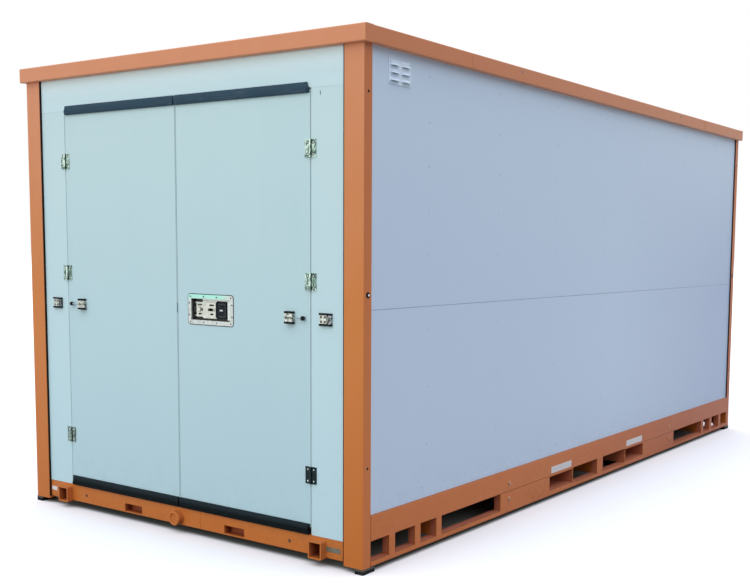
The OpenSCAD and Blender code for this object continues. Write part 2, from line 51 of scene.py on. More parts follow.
def plug(tree, spot, value):
    # feeds an input from a wire, a colour or a number
    if isinstance(value, Wire):
        tree.links.new(value.socket, spot)
    elif spot.type == "RGBA":
        spot.default_value = (*value, 1.0)
    else:
        spot.default_value = value


class Wire:
    # a socket that takes part in sums
    def __init__(self, tree, socket):
        self.tree = tree
        self.socket = socket

    def calc(self, operation, *values):
        node = self.tree.nodes.new("ShaderNodeMath")
        node.operation = operation
        for spot, value in zip(node.inputs, values):
            plug(self.tree, spot, value)
        return Wire(self.tree, node.outputs[0])

    def __add__(self, other):
        return self.calc("ADD", self, other)

    def __radd__(self, other):
        return self.calc("ADD", other, self)

    def __sub__(self, other):
        return self.calc("SUBTRACT", self, other)

    def __rsub__(self, other):
        return self.calc("SUBTRACT", other, self)

    def __mul__(self, other):
        return self.calc("MULTIPLY", self, other)

    def __rmul__(self, other):
        return self.calc("MULTIPLY", other, self)

    def __truediv__(self, other):
        return self.calc("DIVIDE", self, other)

    def __rtruediv__(self, other):
        return self.calc("DIVIDE", other, self)

    def __pow__(self, other):
        return self.calc("POWER", self, other)

    def __gt__(self, other):
        return self.calc("GREATER_THAN", self, other)

    def __lt__(self, other):
        return self.calc("LESS_THAN", self, other)

    def __abs__(self):
        return self.calc("ABSOLUTE", self)


class Board:
    # a node tree and the few nodes that everything is made from
    def __init__(self, owner):
        owner.use_nodes = True
        self.tree = owner.node_tree
        self.tree.nodes.clear()

    def node(self, kind, inputs=None, out=0, **settings):
        made = self.tree.nodes.new("ShaderNode" + kind)
        for key, value in settings.items():
            setattr(made, key, value)
        for key, value in (inputs or {}).items():
            plug(self.tree, made.inputs[key], value)
        if made.outputs:
            return Wire(self.tree, made.outputs[out])

    def mix(self, first, second, share):
        return self.node("Mix", {0: share, 6: first, 7: second}, 2, data_type="RGBA")

    def level(self, value, low, high):
        return self.node("MapRange", {0: value, 1: low, 2: high}, clamp=True)

    def part(self, vector, axis):
        return self.node("SeparateXYZ", {0: vector}, "XYZ".index(axis))

    def showBySight(self, hidden, seen, last):
        # one shader for the camera and reflections, another to light with
        direct, glossy, through = (self.node("LightPath", out="Is " + kind + " Ray")
                                   for kind in ("Camera", "Glossy", "Transmission"))
        sight = direct.calc("MAXIMUM", direct.calc("MAXIMUM", direct, glossy), through)
        both = self.node("MixShader", {0: sight, 1: hidden, 2: seen})
        self.node(last, {0: both})


class Finish(Board):
    # a material whose colour is built up in layers of its looks, with textures in the frame's own metres
    def __init__(self, name, looks, start="tone", metal=0.0, spec=0.5):
        self.skin = bpy.data.materials.new(name)
        super().__init__(self.skin)
        self.looks = looks
        self.colour = looks[start]
        self.feeds = {"Metallic": metal, "Specular IOR Level": spec}
        self.place = self.node("TexCoord", out="Object")

    def along(self, axis):
        return self.part(self.place, axis)

    def facing(self, axis):
        return self.part(self.node("NewGeometry", out="Normal"), axis)

    def noise(self, scale, detail=3.0, rough=0.6, by=(1.0, 1.0, 1.0)):
        place = self.node("VectorMath", {0: self.place, 1: by}, operation="MULTIPLY")
        return self.node("TexNoise", {"Vector": place, "Scale": scale, "Detail": detail, "Roughness": rough})

    def edges(self, reach):
        soft = self.node("Bevel", {"Radius": reach}, samples=4)
        hard = self.node("NewGeometry", out="Normal")
        flat = self.node("VectorMath", {0: soft, 1: hard}, "Value", operation="DOT_PRODUCT")
        return self.level(1 - flat, 0.02, 0.25)

    def lay(self, tone, share):
        self.colour = self.mix(self.colour, self.looks.get(tone, tone), share)

    def done(self, rough, relief, strength, distance):
        bump = self.node("Bump", {"Strength": strength, "Distance": distance, "Height": relief})
        self.feeds.update({"Base Color": self.colour, "Roughness": rough, "Normal": bump})
        self.node("OutputMaterial", {0: self.node("BsdfPrincipled", self.feeds)})
        return self.skin


# orange frame paint: satin, bleached by the sun towards the roof, with painted shade on the side faces that
# deepens at their far low end, a paler tone towards the rear on the rim's sides that is partly sun bleach and
# partly painted sheen, dust on top of the rim, darker upward faces below the rim and much darker ones on the
# rails, road dirt and chips low down, and painted shade inside pockets and behind the rail faces
framePaint = {
    "low": (0.525, 0.152, 0.024), "tone": (0.615, 0.21, 0.052), "faded": (0.705, 0.298, 0.158),
    "side": (0.55, 0.16, 0.05), "shadedSideLow": (0.625, 0.185, 0.056), "sideFarShade": (0.36, 0.07, 0.015),
    "dirt": (0.2, 0.095, 0.048), "bare": (0.28, 0.11, 0.05), "bleachAndSheen": (0.64, 0.31, 0.185),
    "dust": (0.4, 0.17, 0.075), "ledge": (0.085, 0.05, 0.036), "pocketShade": (0.225, 0.046, 0.022),
    "recess": (0.54, 0.175, 0.105), "rough": 0.36, "rim": (2.3, 2.36), "splash": (0.02, 0.32),
    "sideShadeShare": 0.8, "rimSideShade": 0.36, "farShadeShare": 0.8, "bleachAndSheenShare": 0.5, "grime": 0.4, "wear": 0.55,
    "chips": 0.6, "pocketShadeShare": 0.8,
}


def makeFramePaint(name, pocketShade=None, inner="pocketShade", ledge=0.15):
    f = Finish(name, framePaint, "low", spec=0.22)
    high = f.along("Z")
    back = f.along("Y")
    cloud = f.noise(2.3, 4.0, 0.6)
    grain = f.noise(38.0)
    streak = f.noise(9.0, by=(1.0, 1.0, 0.08))
    tide = high + (cloud - 0.5) * 0.6 + (streak - 0.5) * 0.4
    f.lay("tone", f.level(tide, 0.0, 1.0))
    f.lay("faded", f.level(tide, 1.2, 2.4))
    rimShare = f.level(high, *framePaint["rim"])
    # painted shade: side-facing faces take a darker side tone, lighter low down near the front, less of it
    # near the rim
    sideShade = framePaint["sideShadeShare"] - rimShare * framePaint["rimSideShade"]
    sideShade = f.level(abs(f.facing("X")), 0.6, 0.9) * sideShade
    near = (1 - f.level(high, 0.5, 2.0)) * (1 - f.level(back, 0.3, 2.0))
    f.lay(f.mix(framePaint["side"], framePaint["shadedSideLow"], near), sideShade)
    # painted shade: the side faces darken towards their far low end
    far = f.level(back, -0.7, 1.5) * (1 - f.level(high, 0.3, 1.5))
    f.lay("sideFarShade", far * sideShade * framePaint["farShadeShare"])
    top = f.level(f.facing("Z"), 0.5, 0.8)
    # paler towards the rear on non-top faces near the rim: partly sun bleach, partly painted sheen
    f.lay("bleachAndSheen", rimShare * (1 - top) * f.level(back, -1.5, 2.4) * framePaint["bleachAndSheenShare"])
    f.lay("dust", top * rimShare * f.level(cloud + grain * 0.3, 0.35, 0.75))
    # darker on upward faces below the rim, much darker on the rails
    f.lay("ledge", top * (1 - rimShare) * ledge)
    low = 1 - f.level(high, *framePaint["splash"])
    grime = f.level(grain * 0.45 + cloud * 0.55, 0.5, 0.72) * low
    f.lay("dirt", grime * framePaint["grime"])
    worn = f.edges(0.004) * f.level(f.noise(55.0, 4.0, 0.65), 0.52, 0.62)
    f.lay("bare", worn * framePaint["wear"])
    chips = f.level(f.noise(120.0, 2.0, 0.5), 0.735, 0.76) * low
    f.lay("bare", chips * framePaint["chips"])
    # painted shade inside the sill's slots and the lift tubes, and on faces behind the rail face
    if pocketShade:
        f.lay(inner, pocketShade(f) * framePaint["pocketShadeShare"])
    rough = framePaint["rough"] + grain * 0.12 + grime * 0.2
    return f.done(rough, f.noise(320.0, 2.0, 0.5) * 0.4 + grain * 0.6, 0.1, 0.0015)


# depths behind the face at which the painted shade inside pockets starts and is full
pocketShadeDepth = {"sill": (0.003, 0.022), "rail": (0.002, 0.012), "tube": (0.0, 0.045)}


def sillPocketShade(f):
    return f.level(sillFace - abs(f.along("Y")), *pocketShadeDepth["sill"])


def railRecessShade(f):
    return f.level(railFace - abs(f.along("X")), *pocketShadeDepth["rail"])


def tubePocketShade(f):
    inside = abs(abs(f.along("X")) - tube["x"]) < tube["half"]
    inside = inside * (abs(f.along("Z") - tube["z"]) < tube["rise"])
    return inside * f.level(tube["mouth"] - abs(f.along("Y")), *pocketShadeDepth["tube"])


# white wall boards: smooth gelcoat with faint clouds and rain runs and splash at the bottom; the front, jamb,
# header and side boards are lit and shaded copies of one board, with painted shade towards the bottom, a
# painted highlight at the top of the header and painted shade at the far low end of the sides
wallBoard = {
    "rough": 0.34, "coat": 0.04, "coatRough": 0.25, "splash": (0.36, 0.42, 0.44), "far": (0.37, 0.48, 0.65),
    "farShadeShare": 0.7, "pale": (0.82, 0.99, 1.0), "litTopFrom": (2.25, 2.35), "rise": (0.1, 2.0),
    "runs": (3.0, 3.0, 0.25),
}
# one white board in lit and shaded copies: painted light and shade for each face
boards = {
    "front": {"tone": (0.562, 0.752, 0.762), "shade": (0.463, 0.655, 0.713)},
    "jamb": {"tone": (0.595, 0.78, 0.792), "shade": (0.518, 0.725, 0.782)},
    "header": {"tone": (0.63, 0.82, 0.846), "shade": (0.56, 0.75, 0.79)},
    "side": {"tone": (0.625, 0.754, 0.885), "shade": (0.585, 0.712, 0.858), "rise": (1.2, 2.0),
             "runs": (3.0, 2.0, 0.3)},
    "roof": {"tone": (0.44, 0.48, 0.5), "shade": (0.34, 0.38, 0.4), "rise": (0.0, 4.0),
             "runs": (3.0, 0.3, 1.0)},
}


def makeWallBoard(kind):
    board = {**wallBoard, **boards[kind]}
    f = Finish(kind + "_board", board, "shade", spec=0.22)
    up = f.along("Z")
    cloud = f.noise(1.1, 4.0, 0.55)
    run = f.noise(3.0, 4.0, 0.6, by=board["runs"])
    weave = f.noise(210.0, 2.0, 0.5)
    # painted shade: each board darker towards its bottom
    f.lay("tone", f.level(up, *board["rise"]))
    f.lay("shade", f.level(cloud, 0.5, 0.8) * 0.35 + f.level(run, 0.55, 0.85) * 0.25)
    # painted highlight towards the top of the header, under the rim
    if kind == "header":
        f.lay("pale", f.level(up, *board["litTopFrom"]))
    # painted shade: the sides darker towards their far low end
    if kind == "side":
        f.lay("far", f.level(f.along("Y"), 0.2, 2.1) * (1 - f.level(up, 1.1, 2.2)) * board["farShadeShare"])
    splash = (1 - f.level(up, 0.13, 0.5)) * f.level(f.noise(14.0, 5.0, 0.7), 0.48, 0.75)
    f.lay("splash", splash * 0.18)
    f.lay("splash", f.edges(0.003) * 0.15)
    f.feeds.update({"Coat Weight": board["coat"], "Coat Roughness": board["coatRough"]})
    rough = board["rough"] + cloud * 0.1 + splash * 0.15
    return f.done(rough, f.noise(4.5, 3.0, 0.5) * 0.85 + weave * 0.15, 0.05, 0.004)


# black rubber of the door strips: dull and scuffed along its length, with a painted highlight on the upper
# part of the bottom strip, and lighter and bluer on the upper strips, partly weathering and partly painted
# sheen
sealRubber = {
    "low": (0.003, 0.006, 0.007), "litCrest": (0.014, 0.022, 0.026), "top": (0.038, 0.074, 0.104),
    "scuff": (0.13, 0.18, 0.21), "litCrestFrom": (0.158, 0.172),
}


def makeSealRubber():
    f = Finish("seal_rubber", sealRubber, "low", spec=0.045)
    up = f.along("Z")
    scuff = f.noise(7.0, 5.0, 0.65, by=(1.0, 6.0, 26.0))
    fine = f.noise(60.0, by=(0.4, 1.0, 2.0))
    # painted highlight on the upper half of the bottom strip
    f.lay("litCrest", f.level(up + (scuff - 0.5) * 0.02, *sealRubber["litCrestFrom"]))
    # lighter and bluer higher up: partly weathering, partly painted sheen
    f.lay("top", f.level(up, 0.3, 2.0))
    f.lay("scuff", f.level(scuff, 0.56, 0.74) * f.level(up, 0.2, 2.0) * 0.75)
    return f.done(0.46 + fine * 0.25, fine * 0.7 + scuff * 0.3, 0.25, 0.002)


# plain rubber, black in the pads and gaskets and pale in the gaps round the doors
def makeRubber(name, tone, dust):
    f = Finish(name, {"tone": tone}, spec=0.1)
    grain = f.noise(70.0, 4.0, 0.6)
    cloud = f.noise(12.0)
    f.lay(dust, f.level(cloud * 0.6 + grain * 0.4, 0.45, 0.75))
    return f.done(0.62 + grain * 0.2, grain, 0.3, 0.001)


# steel of the hinges: mottled and greenish, dark round the screws, with a painted shadow line along the
# knuckles, dull on the lowest
hingeSteel = {
    "tone": (0.5, 0.66, 0.56), "dull": (0.01, 0.019, 0.021), "stain": (0.05, 0.1, 0.075), "mottle": 0.88,
    "knuckle": 0.0075, "ring": 0.0084, "bar": (0.006, 0.015), "clean": (0.5, 1.2), "leftLow": 0.4,
}
hinge = {"axis": 0.88, "levels": (0.417, 1.313, 1.914), "off": 0.0175, "rise": 0.027}


def makeHingeSteel():
    f = Finish("hinge_steel", hingeSteel, metal=0.75, spec=0.25)
    up = f.along("Z")
    brush = f.noise(40.0, 4.0, 0.7, by=(14.0, 14.0, 0.6))
    patch = f.noise(75.0, 2.0, 0.5, by=(1.4, 1.4, 0.7))
    beside = abs(abs(f.along("X")) - hinge["axis"])
    across = beside - hinge["off"]
    middle = abs(up - hinge["levels"][1])
    rise = up.calc("MINIMUM", middle, abs(up - hinge["levels"][2])) - hinge["rise"]
    f.lay("stain", f.level(patch, 0.46, 0.56) * hingeSteel["mottle"])
    bar = (abs(across) < hingeSteel["bar"][0]) * (middle < hingeSteel["bar"][1])
    f.lay("stain", bar * 0.7)
    ring = (across * across + rise * rise) ** 0.5 < hingeSteel["ring"]
    f.lay("dull", ring * 0.9)
    keep = up.calc("MAXIMUM", f.level(up, *hingeSteel["clean"]), (f.along("X") < 0) * hingeSteel["leftLow"])
    f.lay("dull", 1 - keep)
    # painted shadow line in the gaps beside the knuckles
    f.lay("dull", 1 - f.level(abs(beside - hingeSteel["knuckle"]), 0.0005, 0.003))
    f.lay("dull", f.edges(0.002) * 0.7)
    return f.done(0.3 + brush * 0.18, brush, 0.12, 0.0006)


# steel of the latch: flange with a greenish cast at the top and painted shade along its edges, painted shade
# inside the tray at its bolt end and round the cover with a pale path for the slide, cream plates with
# painted shade in their windows, a painted highlight on the cover's right edge and a dark patch beside the
# thumb boss
latchSteel = {
    "tone": (0.58, 0.62, 0.58), "cream": (0.62, 0.63, 0.54), "cast": (0.34, 0.74, 0.6),
    "stain": (0.3, 0.32, 0.28), "inside": (0.03, 0.032, 0.028), "liner": (0.74, 0.8, 0.74),
    "slot": (0.055, 0.05, 0.038), "edgeHighlight": (0.9, 0.92, 0.9), "metal": 0.6, "runOut": 0.008,
    "castBand": (0.024, 0.014), "castEnd": 0.06, "trayDepth": (0.003, 0.008), "slideDepth": (0.0035, 0.006),
    "thumb": 0.0275, "thumbRing": (0.0125, 0.0014), "patch": (0.013, 0.027), "patchHalf": 0.008,
    "lineHalf": 0.0012, "rim": 0.0045,
}


def startLatchSteel(name, start):
    f = Finish(name, latchSteel, start)
    cloud = f.noise(34.0)
    f.lay("stain", f.level(cloud, 0.42, 0.7) * 0.5)
    # painted shade along the edges
    f.lay("stain", f.edges(0.002) * 0.6)
    return f, cloud


def endLatchSteel(f, cloud, shadeDepth):
    brush = f.noise(40.0, 4.0, 0.7, by=(0.6, 14.0, 14.0))
    f.feeds["Metallic"] = latchSteel["metal"] - shadeDepth * latchSteel["metal"]
    return f.done(0.28 + brush * 0.18 + cloud * 0.1 + shadeDepth * 0.25, brush, 0.12, 0.0006)


def makeTraySteel():
    f, cloud = startLatchSteel("tray_steel", "tone")
    lo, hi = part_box("latch_tray")
    coverLow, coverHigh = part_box("latch_cover")
    slideLow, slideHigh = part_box("latch_slide")
    x = f.along("X")
    z = f.along("Z")
    wave = f.noise(18.0, 2.0, 0.5)
    cast = f.level(z + (wave - 0.5) * 0.012, *(hi.z - drop for drop in latchSteel["castBand"]))
    beyond = f.level(x + wave * 0.04, hi.x - latchSteel["castEnd"], hi.x)
    f.lay("cast", cast * (1 - beyond) * 0.85)
    above = z.calc("MAXIMUM", z > coverHigh.z - 0.002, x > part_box("latch_grip")[1].x - 0.004)
    # painted shade inside the tray: dark at the bolt end and in the gaps round the cover, beside a pale liner
    inside = f.mix(latchSteel["slot"], latchSteel["liner"], above)
    inside = f.mix(latchSteel["inside"], inside, x > coverLow.x)
    path = (z > slideLow.z) * (z < slideHigh.z) * (x < coverLow.x)
    path = path * (x > lo.x + latch["border"] + latchSteel["runOut"])
    inside = f.mix(inside, latchSteel["cream"], path)
    shadeDepth = f.level(f.along("Y"), *(lo.y + depth for depth in latchSteel["trayDepth"]))
    f.lay(inside, shadeDepth * 0.95)
    return endLatchSteel(f, cloud, shadeDepth)


def makeSlideSteel():
    f, cloud = startLatchSteel("slide_steel", "cream")
    lo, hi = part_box("latch_cover")
    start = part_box("latch_grip")[0].x - latch["slide"]
    x = f.along("X")
    z = f.along("Z") - (lo.z + hi.z) / 2
    u = x - (lo.x - latchSteel["thumb"])
    r, half = latchSteel["thumbRing"]
    f.lay("inside", (abs((u * u + z * z) ** 0.5 - r) < half) * 0.7)
    near, far = latchSteel["patch"]
    f.lay("inside", (u > near) * (u < far) * (abs(z) < latchSteel["patchHalf"]) * 0.9)
    f.lay("stain", (x > lo.x) * (abs(z - latch["line"]) < latchSteel["lineHalf"]) * 0.9)
    # painted highlight along the cover's right edge
    f.lay("edgeHighlight", x > hi.x - latchSteel["rim"])
    # painted shade behind the windows
    shadeDepth = f.level(f.along("Y"), *(coverFace + depth for depth in latchSteel["slideDepth"]))
    f.lay("slot", shadeDepth * 0.92)
    # painted shade on the part of the slide inside the tray
    f.lay("inside", x < start - bury)
    return endLatchSteel(f, cloud, shadeDepth)


# hold-backs: mottled pale plates between black cheeks, with painted shade in a band beside a catch's lip
holdBack = {
    "plate": (0.6, 0.62, 0.54), "stain": (0.05, 0.056, 0.045), "cheek": (0.004, 0.006, 0.007),
    "lips": ((0.32, 0.35, 0.35), (0.12, 0.14, 0.14)), "half": 0.0195, "lipEdge": 0.001,
    "band": (0.003, 0.005), "groove": 0.0025,
}


def makeHoldBackSteel(name, lips):
    f = Finish(name, holdBack, "plate", spec=0.1)
    x = f.along("X")
    off = abs(f.along("Z") - holdZ)
    cheek = off > holdBack["half"]
    brush = f.noise(40.0, 4.0, 0.7, by=(1.0, 1.0, 12.0))
    patch = f.noise(95.0, 2.0, 0.5)
    f.lay("stain", f.level(patch, 0.43, 0.57) * (0.35 if lips else 0.8))
    for (start, end), tone in zip(lips, holdBack["lips"]):
        lip = f.mix(tone, holdBack["stain"], f.level(patch, 0.5, 0.58))
        f.lay(lip, (x > start - holdBack["lipEdge"]) * (x < end + holdBack["lipEdge"]))
        # painted shade in the band beside the lip
        f.lay("cheek", abs(x - start + holdBack["band"][0]) < holdBack["band"][1])
    if not lips:
        f.lay("stain", (off < holdBack["groove"]) * 0.8)
    f.lay("stain", f.edges(0.003) * 0.6)
    f.lay("cheek", cheek)
    f.feeds["Metallic"] = (1 - cheek) * 0.6
    return f.done(0.3 + brush * 0.2 + cheek * 0.2, brush, 0.1, 0.0006)


# black mouldings: painted highlights on their edges, and on the grip a painted highlight line a little inside
# its edge
blackPlastic = {
    "low": (0.005, 0.007, 0.009), "high": (0.014, 0.018, 0.021), "edge": (0.085, 0.1, 0.105),
    "inset": 0.0095, "corner": 0.01, "ridgeHighlight": 0.0018,
}


def makeBlackPlastic(name, ridgeHighlight=None):
    f = Finish(name, blackPlastic, "low", spec=0.1)
    grain = f.noise(260.0, 2.0, 0.5)
    cloud = f.noise(30.0)
    f.lay("high", f.level(cloud, 0.4, 0.7))
    if ridgeHighlight:
        lo, hi = ridgeHighlight
        mid = (lo + hi) / 2
        reach = (hi - lo) / 2
        inner = blackPlastic["inset"] + blackPlastic["corner"]
        x = abs(f.along("X") - mid.x) - (reach.x - inner)
        z = abs(f.along("Z") - mid.z) - (reach.z - inner)
        x = x.calc("MAXIMUM", x, 0.0)
        z = z.calc("MAXIMUM", z, 0.0)
        off = abs((x * x + z * z) ** 0.5 - blackPlastic["corner"])
        line = (off < blackPlastic["ridgeHighlight"]) * (f.along("X") > mid.x - 0.5 * reach.x)
        # painted highlight line
        f.lay("edge", line)
    else:
        # painted highlight on the edges
        f.lay("edge", f.edges(0.0035) * 0.9)
    return f.done(0.38 + grain * 0.2, grain, 0.2, 0.0006)


# vents: white plastic with painted shade on upward faces and edges
ventPlastic = {"tone": (0.8, 0.92, 1.0), "cloud": (0.74, 0.86, 1.0), "greyShade": (0.36, 0.43, 0.62)}


def makeVentPlastic():
    f = Finish("vent_white", ventPlastic, spec=0.45)
    cloud = f.noise(18.0)
    grain = f.noise(300.0, 2.0, 0.5)
    f.lay("cloud", f.level(cloud, 0.4, 0.7))
    # painted shade on upward faces and edges
    f.lay("greyShade", f.level(f.facing("Z"), 0.3, 1.0) * 0.35 + f.edges(0.002) * 0.15)
    return f.done(0.42 + grain * 0.15, grain, 0.1, 0.0006)


# plywood floor: long grain, board joints every 1.22 m, boot scuffs
plywood = {
    "pale": (0.5, 0.35, 0.2), "dark": (0.3, 0.18, 0.09), "joint": (0.09, 0.055, 0.03),
    "scuff": (0.2, 0.15, 0.11), "sheet": 1.22, "jointFrom": 0.4985,
}


def makePlywood():
    f = Finish("floor_plywood", plywood, "pale", spec=0.3)
    grain = f.noise(5.0, 6.0, 0.65, by=(18.0, 1.0, 18.0))
    band = f.noise(1.6, 2.0, 0.5, by=(4.0, 0.5, 1.0))
    scuff = f.noise(6.0, 5.0, 0.7)
    spot = (f.along("Y") + 10 * plywood["sheet"]) / plywood["sheet"]
    near = abs(spot.calc("FRACT", spot) - 0.5)
    f.lay("dark", f.level(grain * 0.6 + band * 0.4, 0.38, 0.66))
    f.lay("scuff", f.level(scuff, 0.55, 0.75) * 0.4)
    f.lay("joint", near > plywood["jointFrom"])
    return f.done(0.55 + grain * 0.2, grain, 0.25, 0.001)


# small parts: name, tone, worn tone, roughness and share of metal
smallPaints = {
    "zinc": ("zinc_screw", (0.66, 0.74, 0.72), (0.44, 0.5, 0.49), 0.28, 1.0),
    "liner": ("liner_steel", (0.74, 0.8, 0.74), (0.52, 0.57, 0.52), 0.35, 0.3),
    "rod": ("rod_steel", (0.36, 0.45, 0.45), (0.26, 0.33, 0.33), 0.4, 0.3),
    "dull": ("dull_steel", (0.3, 0.31, 0.32), (0.12, 0.12, 0.12), 0.45, 0.5),
    "dark": ("dark_screw", (0.035, 0.036, 0.036), (0.09, 0.09, 0.085), 0.45),
    "bolt": ("bolt_paint", (0.68, 0.34, 0.17), (0.13, 0.05, 0.028), 0.38),
    "rust": ("rusty_bolt", (0.15, 0.07, 0.03), (0.08, 0.04, 0.022), 0.55),
    "boardScrew": ("board_screw", (0.49, 0.59, 0.7), (0.39, 0.48, 0.58), 0.4),
    # the foot plates: dark steel, partly standing in for the shade under the corners
    "foot": ("foot_steel", (0.03, 0.028, 0.026), (0.075, 0.062, 0.052), 0.5),
    "label": ("blank_label", (0.72, 0.7, 0.7), (0.62, 0.6, 0.6), 0.35),
    "idPlate": ("blank_plate", (0.17, 0.16, 0.11), (0.07, 0.07, 0.055), 0.35),
    "joint": ("joint_sealant", (0.33, 0.4, 0.49), (0.26, 0.32, 0.4), 0.6),
    "filler": ("white_sealant", (0.5, 0.66, 0.69), (0.44, 0.59, 0.63), 0.55),
    "sealant": ("roof_sealant", (0.42, 0.43, 0.43), (0.32, 0.33, 0.33), 0.6),
}


def makeSmallPaint(name, tone, worn, rough, metal=0.0):
    f = Finish(name, {"tone": tone}, metal=metal)
    grain = f.noise(150.0)
    f.lay(worn, f.level(grain, 0.42, 0.68))
    return f.done(rough + grain * 0.2, grain, 0.15, 0.0005)


# places that both finishes and pieces follow
bury = 0.0005  # how far a piece that is stuck on reaches into its face
holdZ = sum(corner.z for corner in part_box("left_hold_back")) / 2
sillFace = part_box("rear_sill")[1].y
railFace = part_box("rail_plates")[1].x
tubeLow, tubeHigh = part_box("lift_tubes")
tube = {"x": 0.928, "half": 0.035, "z": (tubeLow.z + tubeHigh.z) / 2, "rise": 0.037, "mouth": tubeHigh.y}
catch = {"low": 0.934, "wide": 0.074, "lip": 0.074 / 3}
lips = [(catch["low"] + catch["wide"] - catch["lip"], catch["low"] + catch["wide"]),
        (-catch["low"] - catch["lip"], -catch["low"])]
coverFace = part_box("latch_cover")[0].y + 0.004  # behind the padlock eye
latch = {
    "xs": (0.0875, 0.18, 0.27, 0.367), "zs": (-0.063, 0.063), "zSides": (-0.029, 0.029),
    "xSides": (0.0785, 0.3755), "screw": (0.0042, 0.0016), "window": (0.01, 0.0042), "windowIn": 0.002,
    "thin": 0.0012, "slide": 0.143, "line": 0.0365, "gasket": 0.0034, "corner": 0.015, "border": 0.0212,
    "linerIn": 0.0065, "linerT": 0.004, "linerGaps": (0.002, 0.005, 0.006, 0.008),
    "coverRivets": (0.008, 0.006, 0.037), "slideRivets": (0.006, 0.002, 0.031), "cut": 0.0008,
    "dome": [(0.0036, -0.001), (0.0036, 0.0006), (0.0028, 0.0014), (0.0014, 0.0018)],
}
finishes = {
    "frame": makeFramePaint("frame_paint"),
    "sill": makeFramePaint("sill_paint", sillPocketShade),
    "tube": makeFramePaint("tube_paint", tubePocketShade),
    "rail": makeFramePaint("rail_paint", railRecessShade, "recess", 0.75),
    "vent": makeVentPlastic(),
    "floor": makePlywood(),
    "seal": makeSealRubber(),
    "pad": makeRubber("pad_rubber", (0.006, 0.007, 0.007), (0.022, 0.02, 0.018)),
    "gasket": makeRubber("gasket_rubber", (0.008, 0.007, 0.007), (0.02, 0.016, 0.014)),
    "edgeSeal": makeRubber("edge_seal", (0.49, 0.63, 0.64), (0.4, 0.52, 0.53)),
    "hinge": makeHingeSteel(),
    "tray": makeTraySteel(),
    "slide": makeSlideSteel(),
    "catch": makeHoldBackSteel("catch_steel", lips),
    "bracket": makeHoldBackSteel("bracket_steel", []),
    "black": makeBlackPlastic("moulded_black"),
    "grip": makeBlackPlastic("grip_black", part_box("latch_grip")),
}
finishes.update({kind: makeWallBoard(kind) for kind in boards})
finishes.update({key: makeSmallPaint(*row) for key, row in smallPaints.items()})
print("finishes made,", len(finishes))

# which nodes wear which finish, where it isn't the frame paint
worn = {
    "front": ["left_door", "right_door"],
    "jamb": ["jamb_left", "jamb_right"],
    "header": ["header_panel"],
    "sill": ["front_sill", "rear_sill"],
    "tube": ["lift_tubes"],
    "rail": ["side_beams", "rail_flanges", "rail_uprights", "rail_plates", "fork_tubes"],
    "foot": ["foot_plates"],
    "side": [name for name in nodes if "_panel_" in name],
    "roof": ["roof_sheet"],
    "vent": ["vents"],
    "floor": ["floor"],
    "pad": ["foot_pads"],
    "seal": ["left_door_seals", "right_door_seals"],
    "hinge": ["frame_hinge_leaves", "left_door_hinges", "right_door_hinges"],
    "catch": ["hold_back_catches"],
    "bracket": ["left_hold_back", "right_hold_back"],
    "tray": ["latch_tray"],
    "slide": ["latch_slide", "latch_cover"],
    "black": ["left_plunger", "right_plunger"],
    "grip": ["latch_grip"],
}
finishOf = {name: key for key, names in worn.items() for name in names}
for name, node in nodes.items():
    node.data.materials.clear()
    node.data.materials.append(finishes[finishOf.get(name, "frame")])


def addObject(name, data):
    made = bpy.data.objects.new(name, data)
    scene.collection.objects.link(made)
    return made


def spokes(axis):
    # unit vectors round an axis, by angle
    side = axis.orthogonal().normalized()
    other = axis.cross(side)
    return lambda a: side * math.cos(a) + other * math.sin(a)


